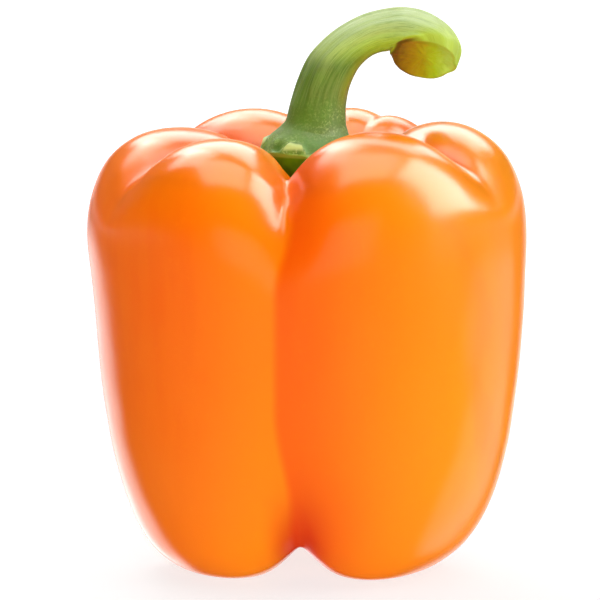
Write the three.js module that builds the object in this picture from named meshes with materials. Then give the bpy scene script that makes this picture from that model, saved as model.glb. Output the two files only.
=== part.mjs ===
// A bell pepper: a blocky fruit of three lobes, with its calyx and its bent, cut stem.
// Millimetres, +Z up, -Y towards the front. The origin is under the middle of the whole, on the surface it rests on.
import * as THREE from "three";

// Driving dimensions. Azimuths are in degrees, anticlockwise from +X, so the front is at -90.
const fruitSides = 72;
const fruitSteps = 44;
const shoulder = { low: 56, high: 84 }; // heights between which the wall turns into the shoulder
const foot = { low: 3, high: 30 }; // heights between which the foot turns into the wall
const dimple = { inner: 10, outer: 21 }; // radii between which the furrows fade out around the calyx
const blossomRadius = 15; // the furrows fade out towards the middle of the underside
const calyxOffset = 1.95; // the calyx sits this far to one side of the body's axis
const dimpleReach = { inner: 12, outer: 34 }; // radii over which that offset fades out
const bow = 0.5; // the wall bows this far to one side below the shoulder
const bowTop = 66;

// Radius and height round the body without its furrows, from the dimple's floor to the blossom end.
const bodyOutline = [
  [0, 74.4], [5, 74.5], [9.6, 75.3], [11.6, 78.3], [14.2, 82.2], [19, 85.4], [26, 86.7],
  [33, 85.2], [38.7, 80.8], [42, 74], [43.2, 66], [42.9, 57], [42.1, 46], [41.2, 35],
  [39.6, 24.5], [36.5, 14.5], [32.2, 6.4], [27, 1.5], [22.5, -0.4], [17.5, -0.7], [12.5, 0.9],
  [7.5, 4.2], [3.5, 6], [0, 6.6],
];

// Each furrow's azimuth, its depth at the shoulder, wall and foot, its half width and its rounding in degrees.
// The deep ones part the three lobes; the others only dent the shoulders.
const furrows = [
  { at: -96, shoulder: 9, wall: 3.6, foot: 8, width: 12.5, rounding: 1 },
  { at: 34, shoulder: 7.5, wall: 3.2, foot: 7.5, width: 12, rounding: 1 },
  { at: 147, shoulder: 8, wall: 3.4, foot: 7.5, width: 12, rounding: 1 },
  { at: -29, shoulder: 4.2, wall: 0.3, foot: 0, width: 10, rounding: 1.5 },
  { at: 58, shoulder: 1.8, wall: 0.2, foot: 0, width: 7, rounding: 2 },
  { at: 92, shoulder: 4, wall: 0.4, foot: 0, width: 10, rounding: 1.5 },
  { at: 206, shoulder: 4.6, wall: 0.3, foot: 0, width: 10, rounding: 1.5 },
];
const furrowReach = 55; // no furrow dents the body further from its line than this, in degrees
const wallSpread = { width: 1.9, rounding: 9 }; // a furrow is wider and softer down the wall
const footSpread = { width: 1.45, rounding: 5 };

// How far single shoulders stand higher and further out than the rest.
const swells = [
  { at: -62, up: 1.4, out: 0.2, width: 26 },
  { at: 3, up: 0.7, out: 0.4, width: 26 },
  { at: 48, up: 1.2, out: 0, width: 12 },
  { at: 70, up: 1.1, out: 0, width: 22 },
  { at: 118, up: 0.7, out: 0, width: 24 },
  { at: 175, up: -0.2, out: 0, width: 26 },
];

// Radius and height round the calyx, from the middle of its underside to the neck that carries the stem.
const calyxSides = 40;
const calyxOutline = [
  [0, 75.9], [8.3, 75.9], [9.6, 77.6], [10.4, 79.6], [10.7, 81.8], [10.1, 83.4], [8.7, 84.9],
  [6.9, 86.2], [6, 87.4], [0, 87.4],
];
const sepals = { count: 5, rise: 0.5, radius: 10 }; // how far the rim lifts between its five points

// Rings across the stem, from its foot to its cut end: x and z of the inside and the outside of the bend, from the
// calyx's middle, half the width across the bend, and how far the ring's far side runs ahead of its near side.
const stemSides = 20;
const stemSteps = 30;
const stemRings = [
  { inside: [6, 87.8], outside: [-5.8, 87.8], width: 5.9, ahead: 0 },
  { inside: [6.1, 90.8], outside: [-4.9, 91.5], width: 5.3, ahead: 0 },
  { inside: [6.9, 94.2], outside: [-3.5, 95.9], width: 5, ahead: 0 },
  { inside: [8.3, 97.4], outside: [-1.6, 100.4], width: 4.9, ahead: 0 },
  { inside: [9.8, 99.6], outside: [1.2, 103.7], width: 4.6, ahead: 0 },
  { inside: [11.3, 100.8], outside: [4.7, 106.4], width: 4.4, ahead: 0 },
  { inside: [12.8, 101.3], outside: [8.8, 108.7], width: 4.3, ahead: 0 },
  { inside: [13.8, 101.4], outside: [12.9, 109.7], width: 4.4, ahead: 0 },
  { inside: [14.2, 101.3], outside: [17, 110.1], width: 4.7, ahead: 0 },
  { inside: [14.4, 101.1], outside: [21.1, 109.6], width: 5.2, ahead: 0 },
  { inside: [14.5, 100.9], outside: [24.7, 107.6], width: 5.6, ahead: 0.5 },
  { inside: [14.5, 100.6], outside: [27.6, 104.6], width: 5.8, ahead: 1.5 },
  { inside: [14.6, 100.3], outside: [28.5, 101.2], width: 5.8, ahead: 2.5 },
  { inside: [14.8, 100], outside: [26.4, 98.2], width: 5.3, ahead: 3 },
];

const fruitMaterial = new THREE.MeshStandardMaterial({ color: "#f5790c", roughness: 0.28, metalness: 0 });
const calyxMaterial = new THREE.MeshStandardMaterial({ color: "#6c8a22", roughness: 0.6, metalness: 0 });
const stemMaterial = new THREE.MeshStandardMaterial({ color: "#9cb24a", roughness: 0.6, metalness: 0 });

const { degToRad, radToDeg, smoothstep } = THREE.MathUtils;

// The angle from one azimuth to another, between -180 and 180 degrees.
function turnBetween(from, to) {
  return THREE.MathUtils.euclideanModulo(to - from + 180, 360) - 180;
}

// 1 at the furrow's line, falling to 0 at its reach on both sides; rounding takes the crease out of its bottom.
function furrowShape(turn, width, rounding) {
  const away = Math.hypot(turn, rounding) - rounding;
  return Math.max(0, 1 - away / furrowReach) ** (furrowReach / width);
}

function furrowDepth(azimuth, radius, height) {
  const fromCalyx = smoothstep(radius, dimple.inner, dimple.outer);
  const fromBlossomEnd = smoothstep(radius, 0, blossomRadius);
  const shoulderShare = smoothstep(height, shoulder.low, shoulder.high);
  const footShare = 1 - smoothstep(height, foot.low, foot.high);
  const onShoulder = shoulderShare * fromCalyx;
  const onWall = (1 - shoulderShare - footShare) * fromCalyx;
  const onFoot = footShare * fromBlossomEnd;
  let depth = 0;
  for (const furrow of furrows) {
    const turn = turnBetween(furrow.at, azimuth);
    const atShoulder = furrowShape(turn, furrow.width, furrow.rounding);
    const atWall = furrowShape(turn, furrow.width * wallSpread.width, wallSpread.rounding);
    const atFoot = furrowShape(turn, furrow.width * footSpread.width, footSpread.rounding);
    depth += furrow.shoulder * onShoulder * atShoulder;
    depth += furrow.wall * onWall * atWall;
    depth += furrow.foot * onFoot * atFoot;
  }
  return depth;
}

// How far a point of the body rises and moves outwards on the swollen shoulders.
function swelling(azimuth, radius, height) {
  const rising = smoothstep(height, 40, 86) * smoothstep(radius, 9, 20);
  const widening = smoothstep(radius, 20, 40);
  let up = 0;
  let out = 0;
  for (const swell of swells) {
    const share = Math.exp(-((turnBetween(swell.at, azimuth) / swell.width) ** 2));
    up += swell.up * rising * share;
    out += swell.out * widening * share;
  }
  return { up, out };
}

// The sideways place of the body's axis at a point: the dimple follows the calyx, and the wall bows a little.
function axisPlace(radius, height) {
  const inDimple = (1 - smoothstep(radius, dimpleReach.inner, dimpleReach.outer)) * smoothstep(height, 30, 60);
  const up = THREE.MathUtils.clamp(height / bowTop, 0, 1);
  return calyxOffset * inDimple + bow * 4 * up * (1 - up);
}

function lathe(outline, steps, sides) {
  const curve = new THREE.SplineCurve(outline.map(([radius, height]) => new THREE.Vector2(radius, height)));
  const points = curve.getSpacedPoints(steps).reverse();
  points[0].x = 0;
  points[steps].x = 0;
  return new THREE.LatheGeometry(points, sides).rotateX(Math.PI / 2);
}

// Moves every vertex to the place that the function gives for it and its normal.
function reshape(geometry, placeOf) {
  const position = geometry.getAttribute("position");
  const normal = geometry.getAttribute("normal");
  for (let i = 0; i < position.count; i++) {
    const point = new THREE.Vector3().fromBufferAttribute(position, i);
    const outwards = new THREE.Vector3().fromBufferAttribute(normal, i);
    position.setXYZ(i, ...placeOf(point, outwards));
  }
  geometry.computeVertexNormals();
  return geometry;
}

function fruitGeometry() {
  return reshape(lathe(bodyOutline, fruitSteps, fruitSides), (point, outwards) => {
    const radius = Math.hypot(point.x, point.y);
    const azimuth = radToDeg(Math.atan2(point.y, point.x));
    const depth = furrowDepth(azimuth, radius, point.z);
    const { up, out } = swelling(azimuth, radius, point.z);
    const place = point.clone().addScaledVector(outwards, -depth);
    place.x += out * Math.cos(degToRad(azimuth)) + axisPlace(radius, place.z + up);
    place.y += out * Math.sin(degToRad(azimuth));
    place.z = Math.max(0, place.z + up); // each lobe rests on a small flat spot
    return place;
  });
}

function calyxGeometry() {
  const points = calyxOutline.map(([radius, height]) => new THREE.Vector2(radius, height));
  const geometry = new THREE.LatheGeometry(points, calyxSides).rotateX(Math.PI / 2);
  return reshape(geometry, (point) => {
    const radius = Math.hypot(point.x, point.y);
    const atRim = smoothstep(radius, sepals.radius - 2, sepals.radius);
    point.z += sepals.rise * atRim * Math.cos(sepals.count * Math.atan2(point.y, point.x));
    return point;
  });
}

// A spline through one value of every ring of the stem, read by the share of its length.
function ringSpline(valueOf) {
  return new THREE.SplineCurve(stemRings.map((ring) => new THREE.Vector2(...valueOf(ring))));
}

// A closed cylinder whose rings span the bend from its inside to its outside.
function stemGeometry() {
  const insides = ringSpline((ring) => ring.inside);
  const outsides = ringSpline((ring) => ring.outside);
  const breadths = ringSpline((ring) => [ring.width, ring.ahead]);
  return reshape(new THREE.CylinderGeometry(1, 1, 1, stemSides, stemSteps), (point) => {
    const share = point.y + 0.5;
    const inside = insides.getPoint(share);
    const outside = outsides.getPoint(share);
    const breadth = breadths.getPoint(share);
    const across = outside.clone().sub(inside).multiplyScalar(0.5);
    const along = new THREE.Vector2(across.y, -across.x).normalize();
    const place = inside.clone().add(across);
    place.addScaledVector(across, point.x).addScaledVector(along, (breadth.y * point.z) / 2);
    return new THREE.Vector3(place.x, breadth.x * point.z, place.y);
  });
}

function addMesh(group, name, geometry, material) {
  const mesh = new THREE.Mesh(geometry, material);
  mesh.name = name;
  group.add(mesh);
  return mesh;
}

const pepper = new THREE.Group();
addMesh(pepper, "fruit", fruitGeometry(), fruitMaterial);
addMesh(pepper, "calyx", calyxGeometry(), calyxMaterial).position.x = calyxOffset;
addMesh(pepper, "stem", stemGeometry(), stemMaterial).position.x = calyxOffset;

// The pepper is centred over the origin.
const middle = new THREE.Box3().setFromObject(pepper).getCenter(new THREE.Vector3());
pepper.position.set(-middle.x, -middle.y, 0);

export default pepper;
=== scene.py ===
from math import atan2, cos, degrees, exp, floor, hypot, pi, radians, sin, tau

import bmesh
import bpy
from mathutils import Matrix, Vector, noise


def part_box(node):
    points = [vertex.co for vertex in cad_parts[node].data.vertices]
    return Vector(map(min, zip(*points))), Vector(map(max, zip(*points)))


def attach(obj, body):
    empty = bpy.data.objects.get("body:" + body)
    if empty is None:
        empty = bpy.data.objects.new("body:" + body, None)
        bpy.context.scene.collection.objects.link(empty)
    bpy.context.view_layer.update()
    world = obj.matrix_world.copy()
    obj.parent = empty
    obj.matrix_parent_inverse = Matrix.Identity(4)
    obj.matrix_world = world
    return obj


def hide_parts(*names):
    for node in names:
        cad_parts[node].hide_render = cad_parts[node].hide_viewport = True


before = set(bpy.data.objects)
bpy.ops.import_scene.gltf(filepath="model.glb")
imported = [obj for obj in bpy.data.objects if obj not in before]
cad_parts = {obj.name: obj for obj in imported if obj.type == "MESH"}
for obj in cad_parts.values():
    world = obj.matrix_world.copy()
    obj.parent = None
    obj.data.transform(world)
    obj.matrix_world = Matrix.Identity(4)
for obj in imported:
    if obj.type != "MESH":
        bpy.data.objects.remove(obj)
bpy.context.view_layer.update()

mm = 0.001               # outlines are in millimetres, everything in Blender in metres
mergeDistance = 0.0001   # in millimetres, for the points of an outline that meet on the axis


# ---- helpers for outlines and vertex moves

def smoothStep(value, low, high):
    share = min(1, max(0, (value - low) / (high - low)))
    return share * share * (3 - 2 * share)


def onBand(height, start, whole, fading, end):    # 1 from whole to fading, 0 before start and after end
    return smoothStep(height, start, whole) * (1 - smoothStep(height, fading, end))


def splinePoint(points, share):      # an even Catmull-Rom spline through the points, read by its share
    place = share * (len(points) - 1)
    first = min(floor(place), len(points) - 2)
    near = points[first]
    far = points[first + 1]
    before = points[max(first - 1, 0)]
    after = points[min(first + 2, len(points) - 1)]
    t = place - first
    values = []
    for a, b, c, d in zip(before, near, far, after):
        startSlope = (c - a) / 2
        endSlope = (d - b) / 2
        cubic = (2 * b - 2 * c + startSlope + endSlope) * t ** 3
        square = (3 * c - 3 * b - 2 * startSlope - endSlope) * t ** 2
        values.append(cubic + square + startSlope * t + b)
    return values


def turnBetween(start, end):         # degrees from one azimuth to another, between -180 and 180
    return (end - start + 180) % 360 - 180


def spunOutline(points, stepsBetween, sides):    # a closed turned body, in millimetres
    bm = bmesh.new()
    steps = stepsBetween * (len(points) - 1)
    places = [splinePoint(points, i / steps) for i in range(steps + 1)]
    profile = [bm.verts.new((max(0, radius), 0, height)) for radius, height in places]
    edges = [bm.edges.new(pair) for pair in zip(profile, profile[1:])]
    bmesh.ops.spin(bm, geom=profile + edges, cent=(0, 0, 0), axis=(0, 0, 1), angle=tau, steps=sides,
                   use_merge=True)
    bmesh.ops.remove_doubles(bm, verts=bm.verts, dist=mergeDistance)
    bmesh.ops.recalc_face_normals(bm, faces=bm.faces)
    bm.normal_update()
    return bm


def makePiece(name, bm, material, node):
    for face in bm.faces:
        face.smooth = True
    mesh = bpy.data.meshes.new(name)
    bm.to_mesh(mesh)
    bm.free()
    piece = bpy.data.objects.new(name, mesh)
    bpy.context.scene.collection.objects.link(piece)
    mesh.materials.append(material)
    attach(piece, "root")
    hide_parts(node)
    print(name, len(mesh.vertices), "vertices")


# ---- shader maths

class Wire:              # a socket of a material's node tree that works in Python expressions
    def __init__(self, tree, socket=None):
        self.tree = tree
        self.socket = socket

    def node(self, kind, settings=None, inputs=None, output=0):
        made = self.tree.nodes.new(kind)
        for name, setting in (settings or {}).items():
            if name == "stops":
                self.setStops(made.color_ramp, setting)
            else:
                setattr(made, name, setting)
        for key, value in (inputs or {}).items():
            if isinstance(value, Wire):
                self.tree.links.new(value.socket, made.inputs[key])
            else:
                made.inputs[key].default_value = value
        return Wire(self.tree, made.outputs[output])

    def setStops(self, ramp, stops):
        while len(ramp.elements) < len(stops):
            ramp.elements.new(1)
        for element, (position, color) in zip(ramp.elements, stops):
            element.position = position
            element.color = (*color, 1)

    def math(self, operation, first, second=0.0):
        return self.node("ShaderNodeMath", {"operation": operation}, {0: first, 1: second})

    def __add__(self, other):
        return self.math("ADD", self, other)

    def __radd__(self, other):
        return self.math("ADD", other, self)

    def __sub__(self, other):
        return self.math("SUBTRACT", self, other)

    def __rsub__(self, other):
        return self.math("SUBTRACT", other, self)

    def __mul__(self, other):
        return self.math("MULTIPLY", self, other)

    def __rmul__(self, other):
        return self.math("MULTIPLY", other, self)

    def __neg__(self):
        return self.math("SUBTRACT", 0, self)

    def __abs__(self):
        return self.math("ABSOLUTE", self)

    def axes(self):                  # this vector's x, y and z
        split = self.node("ShaderNodeSeparateXYZ", None, {0: self}).socket.node
        return [Wire(self.tree, socket) for socket in split.outputs]

    def between(self, low, high):    # 0 below low, 1 above high, eased between them
        return self.node("ShaderNodeMapRange", {"interpolation_type": "SMOOTHSTEP"},
                         {"Value": self, "From Min": low, "From Max": high})

    def mix(self, first, second):    # this wire as the factor from the first colour to the second
        colors = {"Factor": self}
        for key, color in ((6, first), (7, second)):
            colors[key] = color if isinstance(color, Wire) else (*color, 1)
        return self.node("ShaderNodeMix", {"data_type": "RGBA"}, colors, output=2)

    def noise(self, scale, detail, roughness):
        return self.node("ShaderNodeTexNoise", None,
                         {"Vector": self, "Scale": scale, "Detail": detail, "Roughness": roughness})

    def stretched(self, scale):      # this vector with each axis multiplied
        return self.node("ShaderNodeVectorMath", {"operation": "MULTIPLY"}, {0: self, 1: scale})


def newMaterial(name, viewColor):
    material = bpy.data.materials.new(name)
    material.use_nodes = True
    material.diffuse_color = (*viewColor, 1)
    shader = material.node_tree.nodes["Principled BSDF"]
    return material, shader, Wire(material.node_tree)


def feed(wires, shader, inputs):     # links wires to the shader's sockets and sets plain values on them
    for name, value in inputs.items():
        if isinstance(value, Wire):
            wires.tree.links.new(value.socket, shader.inputs[name])
        else:
            shader.inputs[name].default_value = value


# ---- the fruit

fruit = {
    "sides": 320,
    "stepsBetween": 8,               # rings from each point of the outline to the next
    # radius and height without the furrows, from the dimple's floor to the blossom end
    "outline": [(0, 74.4), (5, 74.5), (9.6, 75.3), (11.6, 78.3), (14.2, 82.2), (19, 85.4), (26, 86.7),
                (33, 85.2), (38.7, 80.8), (42, 74), (43.2, 66), (42.9, 57), (42.1, 46), (41.2, 35),
                (39.6, 24.5), (36.5, 14.5), (32.2, 6.4), (27, 1.5), (22.5, -0.4), (17.5, -0.7),
                (12.5, 0.9), (7.5, 4.2), (3.5, 6), (0, 6.6)],
    # azimuth, its shift at the foot and round the calyx; depth at the shoulder, the wall and the
    # foot; half width and rounding in degrees; heights over which the shoulder's depth comes in
    "furrows": [(-97, 3.5, -5, 9.7, 3.6, 8, 12.5, 1, 56, 84), (34, -3, 2, 7.5, 3.2, 7.5, 12, 1, 56, 84),
                (147, 2, -3, 8, 3.4, 7.5, 12, 1, 56, 84), (-29, 0, 2, 4.2, 0.3, 0, 10, 1.5, 72, 86),
                (58, 0, 0, 1.8, 0.2, 0, 7, 2, 70, 86), (92, 0, -2, 4, 0.4, 0, 10, 1.5, 68, 86),
                (206, 0, -2, 4.6, 0.3, 0, 10, 1.5, 68, 86)],
    "furrowReach": 55,               # degrees from its middle at which a furrow has ended
    "leanHeights": (0, 60),          # over which the shift at the foot fades out
    "curlHeights": (55, 75),         # over which the shift round the calyx comes in
    "curlReach": (18, 36),           # and the radii over which it fades out
    "sway": (-97, -2.6),             # which furrow sways half way up, and by how many degrees
    "swayHeights": (12, 36, 58, 72),
    "wallSpread": (1.9, 9, 1.5),     # width, and rounding below and above the crease
    "creaseFade": (40, 64),          # heights between the two roundings
    "footSpread": (1.4, 3),          # width and rounding
    # azimuth; how far the shoulder there stands higher and further out; half width in degrees
    "swells": [(-62, 1.4, 0.2, 26), (3, 0.7, 0.4, 26), (48, 1.2, 0, 12), (70, 1.1, 0, 22),
               (118, 0.7, 0, 24), (175, -0.2, 0, 26)],
    "swellHeights": (40, 86),
    "swellReach": (9, 20, 40),       # radii: none, raised in full, pushed out in full
    "foot": (3, 30),                 # heights over which a furrow's depth goes from foot to wall
    "dimple": (9, 14.4),             # radii over which the furrows fade out around the calyx
    "shoulderTop": (22, 33, 0.2),    # radii over which they take up the last part of their depth
    "blossomRadius": 15,
    "sole": 1.6,                     # how softly the feet flatten where they rest
    "calyxOffset": 1.95,             # how far right of the middle the dimple lies
    "dimpleReach": (12, 34),
    "dimpleHeights": (30, 60),
    "bow": 0.5,                      # how far the body bows to the right half way up
    "bowTop": 66,
    "unevenness": [(0.35, 17), (0.035, 6)],   # how far the skin swells and sinks, and over what length
    "unevenReach": (14, 26),
    # the skin: where the front furrow lies and how far it sways to the left, then the colours
    "creaseSide": -3.5,
    "creaseSway": 3,
    "orange": (0.88, 0.122, 0.0),
    # painted light: the yellower orange where the skin is painted as lit brightest
    "litOrange": (0.98, 0.32, 0.0),
    "clouds": (0.92, 0.19, 0.0),
    "streaks": (0.95, 0.19, 0.0),
    "flecks": (1.0, 0.25, 0.0),
    # painted shade in the furrows, and darkest deep between the feet
    "furrowShade": (0.78, 0.05, 0.0),
    "deepShade": (0.62, 0.012, 0.0),
    "scar": (0.13, 0.055, 0.01),
}


def furrowShape(turn, width, rounding):    # 1 in the crease, falling off to 0 on both sides
    away = hypot(turn, rounding) - rounding
    return max(0, 1 - away / fruit["furrowReach"]) ** (fruit["furrowReach"] / width)


def furrowDepth(azimuth, radius, height):
    topLow, topHigh, topShare = fruit["shoulderTop"]
    fromCalyx = smoothStep(radius, *fruit["dimple"]) * (1 - topShare)
    fromCalyx += topShare * smoothStep(radius, topLow, topHigh)
    footShare = 1 - smoothStep(height, *fruit["foot"])
    onFoot = footShare * smoothStep(radius, 0, fruit["blossomRadius"])
    towardFoot = 1 - smoothStep(height, *fruit["leanHeights"])
    towardCalyx = smoothStep(height, *fruit["curlHeights"]) * (1 - smoothStep(radius, *fruit["curlReach"]))
    swayingFurrow, sway = fruit["sway"]
    wallWidth, softRounding, creaseRounding = fruit["wallSpread"]
    wallRounding = softRounding + (creaseRounding - softRounding) * smoothStep(height, *fruit["creaseFade"])
    footWidth, footRounding = fruit["footSpread"]
    depth = 0
    for at, lean, curl, shoulder, wall, foot, width, rounding, low, high in fruit["furrows"]:
        turn = turnBetween(at + lean * towardFoot + curl * towardCalyx, azimuth)
        if at == swayingFurrow:
            turn -= sway * onBand(height, *fruit["swayHeights"])
        if abs(turn) > fruit["furrowReach"] + softRounding:
            continue
        shoulderShare = smoothStep(height, low, high)
        onShoulder = shoulderShare * fromCalyx
        onWall = (1 - shoulderShare - footShare) * fromCalyx
        depth += shoulder * onShoulder * furrowShape(turn, width, rounding)
        depth += wall * onWall * furrowShape(turn, width * wallWidth, wallRounding)
        depth += foot * onFoot * furrowShape(turn, width * footWidth, footRounding)
    return depth


def swelling(azimuth, radius, height):     # how far a shoulder is raised and pushed out
    none, raised, widest = fruit["swellReach"]
    rising = smoothStep(height, *fruit["swellHeights"]) * smoothStep(radius, none, raised)
    widening = smoothStep(radius, raised, widest)
    up = 0
    out = 0
    for at, rise, reach, width in fruit["swells"]:
        share = exp(-((turnBetween(at, azimuth) / width) ** 2))
        up += rise * rising * share
        out += reach * widening * share
    return up, out


def axisPlace(radius, height):       # how far right of the middle the body's axis lies there
    inDimple = 1 - smoothStep(radius, *fruit["dimpleReach"])
    inDimple *= smoothStep(height, *fruit["dimpleHeights"])
    share = min(1, max(0, height / fruit["bowTop"]))
    return fruit["calyxOffset"] * inDimple + fruit["bow"] * 4 * share * (1 - share)


def shapeFruit(bm):
    depthLayer = bm.verts.layers.float.new("furrow")
    moved = []
    for vert in bm.verts:
        radius = hypot(vert.co.x, vert.co.y)
        height = vert.co.z
        azimuth = degrees(atan2(vert.co.y, vert.co.x))
        depth = furrowDepth(azimuth, radius, height)
        up, out = swelling(azimuth, radius, height)
        uneven = sum(amount * noise.noise(vert.co / size) for amount, size in fruit["unevenness"])
        uneven *= smoothStep(radius, *fruit["unevenReach"])
        place = vert.co + vert.normal * (uneven - depth)
        raised = place.z + up
        place.x += out * cos(radians(azimuth)) + axisPlace(radius, raised)
        place.y += out * sin(radians(azimuth))
        place.z = (raised + hypot(raised, fruit["sole"])) / 2    # settles softly on the floor
        moved.append(place)
        vert[depthLayer] = depth
    for vert, place in zip(bm.verts, moved):
        vert.co = place


def fitToNode(bm, node):             # scales and moves the mesh into the CAD node's box
    low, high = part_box(node)
    ownLow = Vector([min(vert.co[axis] for vert in bm.verts) for axis in range(3)])
    ownHigh = Vector([max(vert.co[axis] for vert in bm.verts) for axis in range(3)])
    scale = Vector([(high[i] - low[i]) / (ownHigh[i] - ownLow[i]) for i in range(3)])
    bmesh.ops.translate(bm, verts=bm.verts, vec=-ownLow)
    bmesh.ops.scale(bm, verts=bm.verts, vec=scale)
    bmesh.ops.translate(bm, verts=bm.verts, vec=low)


def pastCreaseShare(place):          # 0 left of the front furrow's crease and 1 right of it
    side, _, height = place.axes()
    swaying = height.between(0.015, 0.036) * (1 - height.between(0.058, 0.072))
    fromCrease = side - fruit["creaseSide"] * mm + fruit["creaseSway"] * mm * swaying
    return fromCrease.between(-0.0007, 0.0016)


def paintedLitOrange(place, front, pastCrease):       # painted light: yellower toward the brighter-lit right, the foot and the top
    side, _, height = place.axes()
    whole = side.between(-0.035, 0.06) * 0.75
    leftLobe = (1 - pastCrease) * side.between(-0.026, -0.006) * 0.42
    rightLobe = pastCrease * side.between(-0.008, 0.055) * 0.8
    # painted light: how much lighter each part is painted, by side, lobe and height
    litShare = whole + (leftLobe + rightLobe - whole) * front
    litShare = litShare + (1 - height.between(0.005, 0.06)) * 0.2 + height.between(0.066, 0.088) * 0.28
    return litShare.mix(fruit["orange"], fruit["litOrange"])


def mottled(color, place, clouds):
    streaks = place.stretched((1, 1, 0.16)).noise(260, 2, 0.5).between(0.35, 0.65)
    flecks = place.noise(900, 2, 0.6).between(0.55, 0.8)
    color = (clouds * 0.25).mix(color, fruit["clouds"])
    color = (streaks * 0.15).mix(color, fruit["streaks"])
    return (flecks * 0.08).mix(color, fruit["flecks"])


def shadeInFurrows(color, place, spared):          # painted shade: redder in the furrows, reddest deep between the feet
    height = place.axes()[2]
    furrowed = place.node("ShaderNodeAttribute", {"attribute_name": "furrow"}, output="Fac")
    color = (furrowed.between(0.5, 5.0) * (0.5 - 0.35 * spared)).mix(color, fruit["furrowShade"])
    deepest = furrowed.between(3.5, 7.0) * (1 - height.between(0.006, 0.026))
    return (deepest * 0.75).mix(color, fruit["deepShade"])


def blossomScar(color, place):       # a brown mark in the middle of the underside
    fromAxis = place.node("ShaderNodeVectorMath", {"operation": "LENGTH"},
                          {0: place.stretched((1, 1, 0))}, output="Value")
    scar = (1 - fromAxis.between(0.0015, 0.0028)) * (1 - place.axes()[2].between(0.015, 0.02))
    return (scar * 0.85).mix(color, fruit["scar"])


def skinMaterial():
    material, shader, wires = newMaterial("pepper_skin", (0.9, 0.2, 0.0))
    place = wires.node("ShaderNodeTexCoord", output="Object")
    front = 1 - place.axes()[1].between(-0.02, 0.0)
    pastCrease = pastCreaseShare(place)
    clouds = place.noise(38, 3, 0.5).between(0.32, 0.68)
    color = mottled(paintedLitOrange(place, front, pastCrease), place, clouds)
    color = shadeInFurrows(color, place, front * (1 - pastCrease))
    waves = place.noise(130, 2, 0.5)
    pores = place.noise(2600, 2, 0.6)
    relief = wires.node("ShaderNodeBump", None, {"Strength": 0.12, "Distance": 0.0002,
                                                 "Height": waves + pores * 0.05})
    feed(wires, shader, {
        "Base Color": blossomScar(color, place),
        "Roughness": 0.21 + 0.05 * clouds,
        "IOR": 1.38,
        "Subsurface Weight": 0.1,
        "Subsurface Radius": (1.0, 0.3, 0.05),
        "Subsurface Scale": 0.002,
        "Normal": relief,
    })
    return material


def buildFruit():
    bm = spunOutline(fruit["outline"], fruit["stepsBetween"], fruit["sides"])
    shapeFruit(bm)
    fitToNode(bm, "fruit")
    bmesh.ops.recalc_face_normals(bm, faces=bm.faces)
    makePiece("pepper_fruit", bm, skinMaterial(), "fruit")


# ---- the greens of the calyx and the stem

greens = {
    "deep": (0.095, 0.19, 0.008),
    "olive": (0.085, 0.145, 0.004),
    # pale: partly the stem's own paler green, partly painted light on the top of its bend
    "pale": (0.42, 0.54, 0.19),
    "frost": (0.44, 0.54, 0.13),
    # the stem: inside of the bend, upper part, dark blotches, skin beside the cut
    "rim": (0.30, 0.29, 0.004),
    "tip": (0.40, 0.53, 0.02),
    "blotch": (0.04, 0.085, 0.002),
    "bruise": (0.16, 0.085, 0.004),
    # the cut face, from its inner corner to its outer edge: partly its own brown to yellow-green, partly
    # painted light that brightens it toward the outer edge
    "cutFace": [(0, (0.16, 0.075, 0.004)), (0.22, (0.35, 0.21, 0.004)), (0.5, (0.41, 0.35, 0.004)),
                (0.8, (0.4, 0.6, 0.015)), (1, (0.48, 0.74, 0.1))],
    # the calyx: top, underside, painted shade low on the underside, rim line, sepal teeth and painted shade
    # in the notches beside them
    "fresh": (0.19, 0.35, 0.025),
    "skirt": (0.11, 0.28, 0.0),
    "skirtShade": (0.025, 0.12, 0.0),
    "edge": (0.34, 0.52, 0.06),
    "tooth": (0.66, 0.8, 0.24),
    "notchShade": (0.06, 0.17, 0.0),
}


def frosted(color, place, amount):   # fine pale specks, as of dried wax
    specks = place.noise(2100, 3, 0.7).between(0.48, 0.66)
    clouds = place.noise(330, 2, 0.5).between(0.38, 0.62)
    return (specks * (0.35 + 0.65 * clouds) * amount).mix(color, greens["frost"])


def greenPatches(place):
    return place.noise(210, 3, 0.6).between(0.35, 0.65)


def footGreen(place):                # the skin where the stem grows out of the calyx
    side = place.axes()[0]
    plain = greenPatches(place).mix(greens["olive"], greens["deep"])
    return frosted(plain, place, 0.2 + 0.4 * side.between(0, 0.006))


# ---- the calyx

calyx = {
    "sides": 160,
    "stepsBetween": 6,
    # radius and height from the middle of its underside round the rim to inside the stem's foot
    "outline": [(0, 75.95), (8.2, 75.95), (9.3, 77.6), (9.9, 79.4), (10.3, 80.9), (10.75, 81.8),
                (10.6, 82.3), (9.9, 83.3), (8.7, 84.7), (6.9, 86.3), (6.05, 87.2), (5.2, 87.9),
                (4.4, 88.2), (0, 88.2)],
    "rim": (8.4, 10.4),              # radii over which the rim's waves grow
    "waves": [(5, 0.3, 20), (9, 0.12, 15), (14, 0.08, 0)],    # count, height and turn of each
    "droop": 2.3,                    # how much lower it spreads under the stem's bend
    "droopHeights": (81, 83, 86.4, 87.9),    # where the droop starts, is whole, fades and has ended
    "topHeights": (82, 83, 85.5, 87),        # the same for the top that bears the teeth
    # azimuth, half width in degrees and height of each little sepal tooth that lies on the top
    "teeth": [(-114, 16, 1.0), (-178, 12, 0.7), (-38, 12, 0.6), (44, 13, 0.7), (112, 12, 0.7)],
    "toothReach": (6.8, 7.8, 10.4),  # radii where a tooth starts, is raised and is widest
    "toothSpread": 0.05,             # the least share of its width that a tooth keeps
    "toothEdge": (0.55, 1),          # shares of its half width over which it falls off
    "notchDepth": 0.7,
    # place and half width of the notch beside a tooth, in half widths of the tooth, and its edge
    "notch": (1.45, 0.6),
    "notchEdge": (0.2, 1),
    "grain": (0.12, 1.7),            # height and length of the surface's fine unevenness
    "grainReach": (6.4, 8),
}


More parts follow.
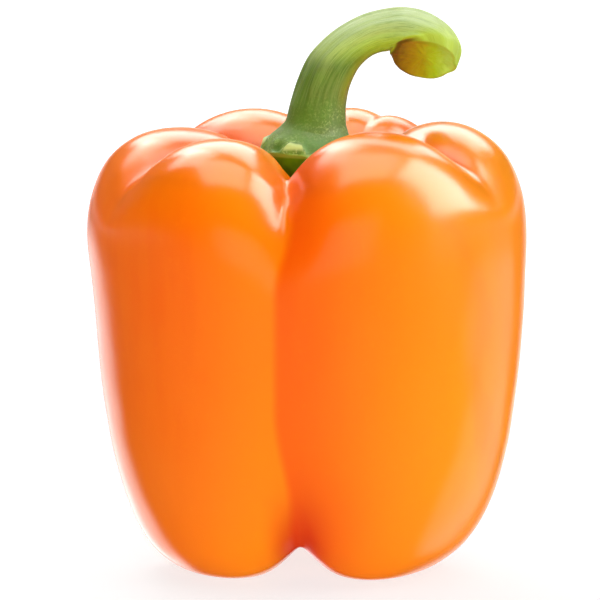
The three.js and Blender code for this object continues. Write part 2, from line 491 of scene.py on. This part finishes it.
def shapeCalyx(bm):
    start, raised, widest = calyx["toothReach"]
    notchPlace, notchWidth = calyx["notch"]
    grainHeight, grainLength = calyx["grain"]
    for vert in bm.verts:
        radius = hypot(vert.co.x, vert.co.y)
        height = vert.co.z
        azimuth = degrees(atan2(vert.co.y, vert.co.x))
        lift = sum(rise * cos(radians(count * (azimuth - turn))) for count, rise, turn in calyx["waves"])
        onTop = onBand(height, *calyx["topHeights"]) * smoothStep(radius, start, raised)
        spread = max(calyx["toothSpread"], (radius - start) / (widest - start))
        for at, halfWidth, rise in calyx["teeth"]:
            away = abs(turnBetween(at, azimuth)) / (halfWidth * spread)
            lift += rise * onTop * (1 - smoothStep(away, *calyx["toothEdge"]))
            beside = abs(turnBetween(at - halfWidth * notchPlace, azimuth)) / (halfWidth * notchWidth)
            lift -= calyx["notchDepth"] * onTop * (1 - smoothStep(beside, *calyx["notchEdge"]))
        underBend = (1 + cos(radians(azimuth))) / 2
        sag = calyx["droop"] * underBend ** 1.5 * onBand(height, *calyx["droopHeights"])
        vert.co.z += lift * smoothStep(radius, *calyx["rim"]) - sag
        grain = grainHeight * noise.noise(vert.co / grainLength)
        vert.co += vert.normal * (grain * smoothStep(radius, *calyx["grainReach"]))


def placeOnFruit(bm):                # from millimetres round the stem's axis to metres in the dimple
    low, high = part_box("calyx")
    middle = (low + high) / 2
    bmesh.ops.scale(bm, verts=bm.verts, vec=(mm, mm, mm))
    bmesh.ops.translate(bm, verts=bm.verts, vec=(middle.x, middle.y, 0))


def calyxMaterial():
    material, shader, wires = newMaterial("calyx_green", (0.25, 0.38, 0.08))
    place = wires.node("ShaderNodeTexCoord", output="Object")
    height = place.axes()[2]
    raised = wires.node("ShaderNodeAttribute", {"attribute_name": "raised"}, output="Fac")
    onTop = height.between(0.0814, 0.0824)
    # the underside: half a random tone, half painted shade that darkens it toward its bottom in the dimple
    skirtToneAndShade = place.noise(230, 2, 0.5).between(0.35, 0.65) * 0.5 + height.between(0.0765, 0.0815) * 0.5
    skirt = skirtToneAndShade.mix(greens["skirtShade"], greens["skirt"])
    top = place.noise(420, 3, 0.6).between(0.35, 0.65).mix(greens["deep"], greens["fresh"])
    top = frosted(top, place, 1.0)
    top = (raised.between(0.15, 0.6) * 0.9).mix(top, greens["tooth"])
    # painted shade: darker wherever the shaping sank the surface, as in the notches beside the teeth
    top = ((-raised).between(0.1, 0.6) * 0.8).mix(top, greens["notchShade"])
    top = height.between(0.0835, 0.086).mix(top, footGreen(place))
    rimLine = height.between(0.0810, 0.0815) * (1 - height.between(0.0818, 0.0823))
    color = onTop.mix(skirt, top)
    color = (rimLine * 0.75).mix(color, greens["edge"])
    fuzz = place.noise(1900, 3, 0.7)
    relief = wires.node("ShaderNodeBump", None, {"Strength": 0.4, "Distance": 0.0003, "Height": fuzz * 0.5})
    feed(wires, shader, {
        "Base Color": color,
        "Roughness": 0.5 + 0.2 * greenPatches(place),
        "IOR": 1.4,
        "Normal": relief,
    })
    return material


def buildCalyx():
    bm = spunOutline(calyx["outline"], calyx["stepsBetween"], calyx["sides"])
    before = [vert.co.z for vert in bm.verts]
    shapeCalyx(bm)
    bm.normal_update()
    raised = bm.verts.layers.float.new("raised")
    for vert, height in zip(bm.verts, before):
        vert[raised] = vert.co.z - height
    placeOnFruit(bm)
    makePiece("pepper_calyx", bm, calyxMaterial(), "calyx")


# ---- the stem

stem = {
    "sides": 128,
    "steps": 150,
    # x and z of the inside and the outside of the bend, half the width, and the far side's lead
    "rings": [(6.9, 83.2, -7.5, 85.4, 7.5, 0), (6.1, 85.3, -6.5, 86.7, 6.55, 0),
              (5.9, 87.8, -5.7, 87.9, 5.85, 0), (6.1, 90.6, -4.8, 91.3, 5.3, 0),
              (6.8, 94, -3.5, 95.4, 5, 0), (8.2, 97, -1.5, 99.8, 4.9, 0),
              (9.7, 98.9, 1, 102.8, 4.6, 0), (11.2, 100, 4.4, 105.6, 4.4, 0),
              (12.7, 100.6, 8.8, 108, 4.3, 0), (13.7, 100.8, 12.9, 109.2, 4.4, 0),
              (14.1, 100.9, 17, 109.6, 4.7, 0.5), (14.2, 100.9, 21.1, 108.9, 5.2, 1.5),
              (14.2, 100.9, 24.6, 107, 5.6, 3), (14.2, 100.9, 27.1, 104.6, 5.8, 5),
              (14.3, 100.9, 28.4, 101.6, 5.8, 7), (14.7, 100.6, 27.6, 98.3, 5.5, 8.4)],
    "foot": (6.5, 82.8),             # radius and height of the hidden ring inside the calyx
    # number of ribs round the stem, height in millimetres and turn in degrees
    "ribs": [(5, 0.22, 20), (9, 0.12, 75), (17, 0.05, 10)],
    "ribSettle": 0.28,               # how far the ribs as a whole are sunk
    "ribFade": (0.12, 0.3),          # shares of the stem's length over which the ribs come in
    "ribTwist": 60,                  # degrees from the foot to the cut end
    "unevenness": (0.02, 9),         # share of the thickness, and how often it changes along the stem
    "lip": 0.22,                     # how far the cut face's edge wanders along the stem
    "lipFrom": 0.93,                 # share of the length from which it does
    "lipPattern": (1.8, 4.5),        # size and place of the wandering's noise
    "lipInside": 1.5,                # how much more it wanders at the inner corner
    # the cut face's rings: share of the way to its rim, and how far each stands out of it
    "cutRings": [(0.985, 0.08), (0.95, 0.1), (0.89, 0.02), (0.8, -0.2), (0.66, -0.45), (0.5, -0.55),
                 (0.33, -0.55), (0.16, -0.5)],
    "cutReach": (0, 0.12),           # shares in from the rim over which the skin's look ends
    # how far the cut face's fibres stand out or are torn in, and how many there are in a millimetre
    "fibres": [(0.14, 1.9), (0.084, 4.3)],
    "fibreReach": (0.01, 0.2),       # shares in from the rim over which they come in
    "bark": (5, 38),                 # radius and length of the straight stem that its pattern is on
}


def stemPlace(share, around):        # a point of the stem's skin, from the calyx's middle
    insideX, insideZ, outsideX, outsideZ, width, ahead = splinePoint(stem["rings"], share)
    inside = Vector((insideX, 0, insideZ))
    across = (Vector((outsideX, 0, outsideZ)) - inside) / 2
    along = Vector((across.z, 0, -across.x)).normalized()
    fade = smoothStep(share, *stem["ribFade"])
    rib = sum(height * cos(count * around - radians(turn + stem["ribTwist"] * share))
              for count, height, turn in stem["ribs"])
    amount, changes = stem["unevenness"]
    uneven = amount * noise.noise(Vector((cos(around), sin(around), share * changes)))
    swell = 1 + fade * ((rib - stem["ribSettle"]) / width + uneven)
    size, level = stem["lipPattern"]
    wander = stem["lip"] * noise.noise(Vector((size * cos(around), size * sin(around), level)))
    wander *= smoothStep(share, stem["lipFrom"], 1) * (1 - stem["lipInside"] * min(0, cos(around)))
    lead = ahead * sin(around) / 2 + wander
    place = inside + across + across * (cos(around) * swell) + along * lead
    place.y = width * sin(around) * swell
    return place


def nextRing(bm, edges):             # extrudes the open ring of edges and gives the new edges and points
    extruded = bmesh.ops.extrude_edge_only(bm, edges=edges)["geom"]
    newEdges = [item for item in extruded if isinstance(item, bmesh.types.BMEdge)]
    ring = [item for item in extruded if isinstance(item, bmesh.types.BMVert)]
    return newEdges, ring


def addBark(bm, edges, straight):    # the stem's skin, ring by ring from its foot to the cut
    turns = [tau * i / stem["sides"] for i in range(stem["sides"])]
    radius, length = stem["bark"]
    for step in range(stem["steps"] + 1):
        share = step / stem["steps"]
        edges, ring = nextRing(bm, edges)
        for vert, around in zip(ring, turns):
            vert.co = stemPlace(share, around)
            vert[straight] = (radius * cos(around), radius * sin(around), length * share)
    return edges, ring


def addCutFace(bm, edges, ring, straight):       # rings from the cut's rim to its heart
    cut = bm.verts.layers.float["cut"]
    rim = [vert.co.copy() for vert in ring]
    heart = sum(rim, Vector()) / len(rim)
    quarter = len(rim) // 4
    outward = (rim[quarter] - heart).cross(rim[0] - heart).normalized()
    if outward.z > 0:                # the cut faces down
        outward = -outward
    for share, depth in stem["cutRings"]:
        edges, ring = nextRing(bm, edges)
        inward = 1 - share
        for vert, place in zip(ring, rim):
            vert.co = heart + (place - heart) * share
            fibre = sum(amount * noise.noise(vert.co * count) for amount, count in stem["fibres"])
            vert.co += outward * (depth + fibre * smoothStep(inward, *stem["fibreReach"]))
            vert[cut] = smoothStep(inward, *stem["cutReach"])
            vert[straight] = (vert.co.x - heart.x, vert.co.y - heart.y, stem["bark"][1])
    endFace = bmesh.ops.contextual_create(bm, geom=edges)["faces"]
    bmesh.ops.poke(bm, faces=endFace)


def buildStem():
    bm = bmesh.new()
    bm.verts.layers.float.new("cut")
    straight = bm.verts.layers.float_vector.new("straight")
    radius, height = stem["foot"]
    circle = bmesh.ops.create_circle(bm, cap_ends=False, radius=radius, segments=stem["sides"])
    footEdges = bm.edges[:]
    bmesh.ops.contextual_create(bm, geom=footEdges)
    for i, vert in enumerate(circle["verts"]):
        around = tau * i / stem["sides"] + pi
        vert.co = (radius * cos(around), -radius * sin(around), height)
    edges, ring = addBark(bm, footEdges, straight)
    addCutFace(bm, edges, ring, straight)
    placeOnFruit(bm)
    bmesh.ops.recalc_face_normals(bm, faces=bm.faces)
    makePiece("pepper_stem", bm, stemMaterial(), "stem")


def barkColor(place, straight, lines, fineLines, aboveFoot):
    height = place.axes()[2]
    outward, _, along = straight.axes()    # outward is less than 0 inside the bend
    # the top of the bend: partly its own paler green, partly painted light from above
    upper = height.between(0.096, 0.107) * outward.between(-3.5, 2.5)
    dark = greenPatches(place).mix(greens["olive"], greens["deep"])
    color = (aboveFoot * 0.85).mix(footGreen(place), dark)
    blotches = place.noise(120, 2, 0.5).between(0.5, 0.62) * aboveFoot * (1 - upper)
    color = (blotches * 0.45).mix(color, greens["blotch"])
    color = height.between(0.098, 0.104).mix(color, greens["tip"])
    color = upper.mix(color, greens["pale"])
    color = (lines.between(0.42, 0.62) * aboveFoot * (0.22 + 0.28 * upper)).mix(color, greens["frost"])
    color = (fineLines.between(0.5, 0.62) * aboveFoot * 0.5).mix(color, greens["deep"])
    inner = (-outward).between(2.6, 4.6) * (1 - along.between(14, 22)) * aboveFoot
    color = (inner * 0.75).mix(color, greens["rim"])
    color = (along.between(28, 36) * 0.75).mix(color, greens["tip"])
    bruise = (-outward).between(0.5, 3.5) * along.between(35, 37.3)
    return bruise.mix(color, greens["bruise"])


def cutFaceColorAndLight(place, fibres):     # from brown at the inner corner to yellow-green, partly its own colour and partly painted light, brighter toward the outer edge
    acrossCut = place.axes()[0].between(0.0158, 0.0285) + 0.3 * fibres - 0.15
    return place.node("ShaderNodeValToRGB", {"stops": greens["cutFace"]}, {0: acrossCut})


def stemMaterial():
    material, shader, wires = newMaterial("stem_green", (0.3, 0.42, 0.1))
    place = wires.node("ShaderNodeTexCoord", output="Object")
    straight = wires.node("ShaderNodeAttribute", {"attribute_name": "straight"}, output="Vector")
    cut = wires.node("ShaderNodeAttribute", {"attribute_name": "cut"}, output="Fac")
    lines = straight.stretched((1, 1, 0.06)).noise(2.6, 4, 0.7)
    fineLines = straight.stretched((1, 1, 0.03)).noise(7.5, 3, 0.7)
    fibres = place.stretched((1, 1, 0.5)).noise(900, 3, 0.6)
    aboveFoot = place.axes()[2].between(0.0885, 0.094)
    bark = barkColor(place, straight, lines, fineLines, aboveFoot)
    grain = (lines * 0.8 + fineLines * 0.5) * aboveFoot * (1 - cut) + cut * fibres * 0.6
    grain = grain + place.noise(1900, 3, 0.7) * 0.5
    relief = wires.node("ShaderNodeBump", None, {"Strength": 0.4, "Distance": 0.0003, "Height": grain})
    feed(wires, shader, {
        "Base Color": cut.mix(bark, cutFaceColorAndLight(place, fibres)),
        "Roughness": 0.5 + 0.2 * greenPatches(place),
        "IOR": 1.4,
        "Normal": relief,
    })
    return material


# ---- floor, light and camera

studio = {
    "floorRadius": 6.0,
    "floorColors": [(0.2, 0.2, 0.2), (0.22, 0.22, 0.22)],
    "floorGlow": (0.76, 0.95, 0.25),  # under the object, further off behind it and in front
    "glowReach": (0.1, 0.45),        # distances over which the first gives way to the others
    "frontReach": (0.35, 1.0),       # and over which the glow in front rises again
    "frontEdge": (-0.35, -0.05),     # where on the floor the front gives way to the part behind
    # azimuth and elevation as seen from the object, distance, width and height, brightness as
    # it shines back from the skin and as it fills the shade
    "softboxes": {
        "side": (90, 36, 1.0, 0.8, 0.85, 15.5, 7.5),
        "rear": (176, 41, 1.0, 0.95, 0.56, 6.6, 4.8),
        "rearLeft": (-144, 54, 1.0, 0.5, 0.5, 7.5, 8),
        "top": (0, 83, 1.0, 0.9, 0.86, 6.2, 3.4),
        "front": (0, 5, 1.2, 1.0, 0.6, 0, 7),
        "right": (75, -3, 1.2, 0.7, 0.6, 0, 3),
        "back": (-155, 8, 1.2, 1.0, 0.7, 0, 4),
    },
    "roomBrightness": 0.05,
    "horizonBrightness": 1.05,
    "frontBrightness": 0.08,         # of the lower half of the room on the camera's side
    # azimuth, elevation, half width in degrees and brightness of the pale boards low behind
    "boards": [(-150, -22, 20, 2.2), (180, -14, 24, 1.2), (118, -26, 26, 1.3)],
    "boardSoftness": 0.6,            # how far in from a board's edge it reaches its brightness
    "cameraDistance": 1.2,
    "cameraElevation": 8.5,
    "aim": (-0.00134, -0.00103, 0.05224),
    "frameWidth": 0.117,             # what the picture's width spans at the aim
}


def makeFloor():         # a pale floor that glows, white as far as the horizon behind the object
    bm = bmesh.new()
    bmesh.ops.create_circle(bm, cap_ends=True, radius=studio["floorRadius"], segments=96)
    mesh = bpy.data.meshes.new("floor")
    bm.to_mesh(mesh)
    bm.free()
    ground = bpy.data.objects.new("floor", mesh)
    bpy.context.scene.collection.objects.link(ground)
    material, shader, wires = newMaterial("pale_floor", (0.9, 0.9, 0.9))
    place = wires.node("ShaderNodeTexCoord", output="Object")
    distance = wires.node("ShaderNodeVectorMath", {"operation": "LENGTH"}, {0: place},
                          output="Value")
    behind = place.axes()[1].between(*studio["frontEdge"])
    near, away, front = [(glow, glow, glow) for glow in studio["floorGlow"]]
    inFront = distance.between(*studio["frontReach"]).mix(front, away)
    feed(wires, shader, {
        "Base Color": place.noise(40, 2, 0.5).mix(*studio["floorColors"]),
        "Roughness": 0.7,
        "Specular IOR Level": 0.1,
        "Emission Color": distance.between(*studio["glowReach"]).mix(near, behind.mix(inFront, away)),
        "Emission Strength": 1,
    })
    mesh.materials.append(material)
    ground.visible_glossy = False    # keeps most of the floor out of the skin's shine
    print("floor of", studio["floorRadius"], "m radius")


def placeAround(azimuth, elevation, distance):   # azimuth 0 is the camera's side, growing to the right
    across = cos(radians(elevation))
    return Vector((sin(radians(azimuth)) * across, -cos(radians(azimuth)) * across,
                   sin(radians(elevation)))) * distance


def makeRoom():          # a dim room with a white horizon and pale boards low behind the object
    world = bpy.data.worlds.new("studio_room")
    world.use_nodes = True
    backdrop = world.node_tree.nodes["Background"]
    wires = Wire(world.node_tree)
    direction = wires.node("ShaderNodeTexCoord", output="Generated")
    _, rearward, rise = direction.axes()
    onHorizon = (1 - abs(rise).between(0.02, 0.03)) * rearward.between(-0.6, -0.1)
    inFront = (-rearward).between(0.1, 0.6) * (1 - rise.between(0, 0.35))
    dim = studio["roomBrightness"]
    strength = dim + (studio["horizonBrightness"] - dim) * onHorizon
    strength = strength + studio["frontBrightness"] * inFront
    for azimuth, elevation, halfWidth, brightness in studio["boards"]:
        toward = wires.node("ShaderNodeVectorMath", {"operation": "DOT_PRODUCT"},
                            {0: direction, 1: placeAround(azimuth, elevation, 1)}, output="Value")
        edge = cos(radians(halfWidth))
        softEdge = edge + (1 - edge) * studio["boardSoftness"]
        strength = strength + brightness * toward.between(edge, softEdge)
    world.node_tree.links.new(strength.socket, backdrop.inputs["Strength"])
    backdrop.inputs["Color"].default_value = (1, 1, 1, 1)
    bpy.context.scene.world = world
    print("room with", len(studio["boards"]), "pale boards")


def placeAtAim(thing, offset):       # puts it that far from the middle of the object, facing it
    thing.location = Vector(studio["aim"]) + offset
    thing.rotation_euler = (-offset).to_track_quat("-Z", "Y").to_euler()
    bpy.context.scene.collection.objects.link(thing)


def makeSoftbox(name, setting, brightness):
    azimuth, elevation, distance, width, height = setting
    light = bpy.data.lights.new(name, "AREA")
    light.shape = "RECTANGLE"
    light.size = width
    light.size_y = height
    light.energy = brightness * pi * width * height
    softbox = bpy.data.objects.new(name, light)
    placeAtAim(softbox, placeAround(azimuth, elevation, distance))
    softbox.visible_camera = False
    return softbox


def makeLights():
    for name, (*setting, shine, fill) in studio["softboxes"].items():
        if shine:
            makeSoftbox(name + "Shine", setting, shine).visible_diffuse = False
        makeSoftbox(name + "Fill", setting, fill).visible_glossy = False
        print("softbox", name)


def makeCamera():
    camera = bpy.data.cameras.new("camera")
    camera.sensor_width = 36
    camera.lens = camera.sensor_width * studio["cameraDistance"] / studio["frameWidth"]
    holder = bpy.data.objects.new("camera", camera)
    placeAtAim(holder, placeAround(0, studio["cameraElevation"], studio["cameraDistance"]))
    bpy.context.scene.camera = holder
    print("camera with a lens of", round(camera.lens), "mm")


makeCamera()
makeFloor()
makeRoom()
makeLights()
buildFruit()
buildCalyx()
buildStem()
bpy.context.scene.view_settings.view_transform = "Standard"
